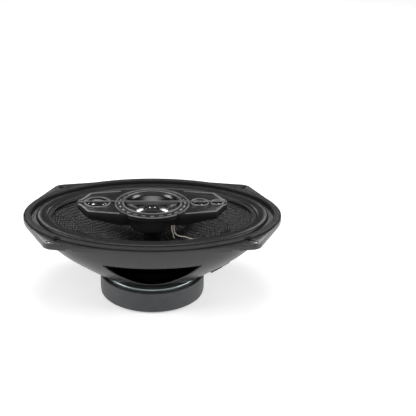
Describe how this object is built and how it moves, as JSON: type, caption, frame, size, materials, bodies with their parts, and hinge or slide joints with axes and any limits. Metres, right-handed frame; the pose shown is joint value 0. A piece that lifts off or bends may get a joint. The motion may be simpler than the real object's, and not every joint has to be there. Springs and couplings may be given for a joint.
{
  "type": "coaxial car speaker",
  "caption": "Oval coaxial car speaker: stamped basket with a sprung woofer cone, and a centre bridge that carries the midrange and tweeter units.",
  "frame": {"origin": "middle of the magnet boot's back face, on the surface that the speaker stands on", "axes": "+X along the long axis towards the terminals, +Z out of the cone towards the listener"},
  "size_m": [0.236, 0.1656, 0.0905],
  "materials": {
    "basket_paint": "satin black powder coat on stamped steel",
    "gasket_rubber": "satin black moulded gasket",
    "surround_rubber": "semi-gloss butyl rubber",
    "cone_pulp": "woven-texture coated cone",
    "spider_cloth": "dark resin-dipped corrugated cloth",
    "boot_rubber": "smooth dark grey rubber",
    "zinc_steel": "zinc-plated steel",
    "ferrite": "dark sintered ferrite",
    "black_plastic": "black moulded plastic, fine texture",
    "silver_trim": "silver painted edge line",
    "gunmetal": "polished gunmetal dome",
    "gloss_black": "gloss black",
    "former_paper": "kraft coil former",
    "copper_wire": "enamelled copper and tinsel braid",
    "black_felt": "black felt and cement",
    "lead_insulation": "cream lead insulation",
    "phenolic_board": "black fibre board",
    "brass_tin": "dull tinned brass"
  },
  "bodies": {
    "frame": {"back_yoke": "zinc_steel", "basket": "basket_paint", "basket_rivet_1": "zinc_steel", "basket_rivet_2": "zinc_steel", "basket_rivet_3": "zinc_steel", "basket_rivet_4": "zinc_steel", "bridge_body": "black_plastic", "bridge_trim_left_back": "silver_trim", "bridge_trim_left_front": "silver_trim", "bridge_trim_right_back": "silver_trim", "bridge_trim_right_front": "silver_trim", "centre_post": "black_plastic", "cross_bar": "silver_trim", "cup_screw": "zinc_steel", "dial_ring": "black_plastic", "ferrite_magnet": "ferrite", "gasket_ring": "gasket_rubber", "inner_ring_trim": "silver_trim", "left_capacitor": "gloss_black", "left_pod_ring": "silver_trim", "left_tweeter_motor": "zinc_steel", "left_tweeter_plate": "gloss_black", "magnet_boot": "boot_rubber", "mid_cup": "black_plastic", "mid_frame": "gloss_black", "mid_magnet": "zinc_steel", "mid_pole_plate": "zinc_steel", "mid_yoke": "zinc_steel", "outer_ring_trim": "silver_trim", "post_screw": "zinc_steel", "right_capacitor": "gloss_black", "right_inner_pod_ring": "silver_trim", "right_inner_tweeter_dome": "gunmetal", "right_inner_tweeter_motor": "zinc_steel", "right_inner_tweeter_plate": "gloss_black", "right_outer_pod_ring": "silver_trim", "right_outer_tweeter_dome": "gunmetal", "right_outer_tweeter_motor": "zinc_steel", "right_outer_tweeter_plate": "gloss_black", "spade_negative": "brass_tin", "spade_positive": "brass_tin", "spider": "spider_cloth", "spider_ring": "black_plastic", "surround": "surround_rubber", "terminal_board": "phenolic_board", "terminal_rivet": "zinc_steel", "tinsel_lead_negative": "copper_wire", "tinsel_lead_positive": "copper_wire", "top_plate": "zinc_steel", "tweeter_wire_negative": "lead_insulation", "tweeter_wire_positive": "lead_insulation"},
    "cone": {"woofer_cone": "cone_pulp", "lead_cover": "black_felt", "voice_coil_former": "former_paper", "voice_coil_winding": "copper_wire", "dust_ring": "black_felt"},
    "midrange": {"mid_cone": "gloss_black", "mid_dome": "gunmetal", "mid_coil": "copper_wire"},
    "tweeter": {"left_tweeter_dome": "gunmetal"}
  },
  "joints": [
    {"name": "cone_travel", "type": "slide", "parent": "frame", "child": "cone", "axis": [0, 0, 1], "range_m": [-0.005, 0.005], "stiffness_N_per_m": 2500, "deforming": ["surround", "spider", "tweeter_wire_positive", "tweeter_wire_negative", "tinsel_lead_positive", "tinsel_lead_negative"]},
    {"name": "midrange_travel", "type": "slide", "parent": "frame", "child": "midrange", "axis": [0, 0, 1], "range_m": [-0.0005, 0.0005], "stiffness_N_per_m": 3000},
    {"name": "tweeter_travel", "type": "slide", "parent": "frame", "child": "tweeter", "axis": [0, 0, 1], "range_m": [-0.00015, 0.00015], "stiffness_N_per_m": 3000}
  ]
}
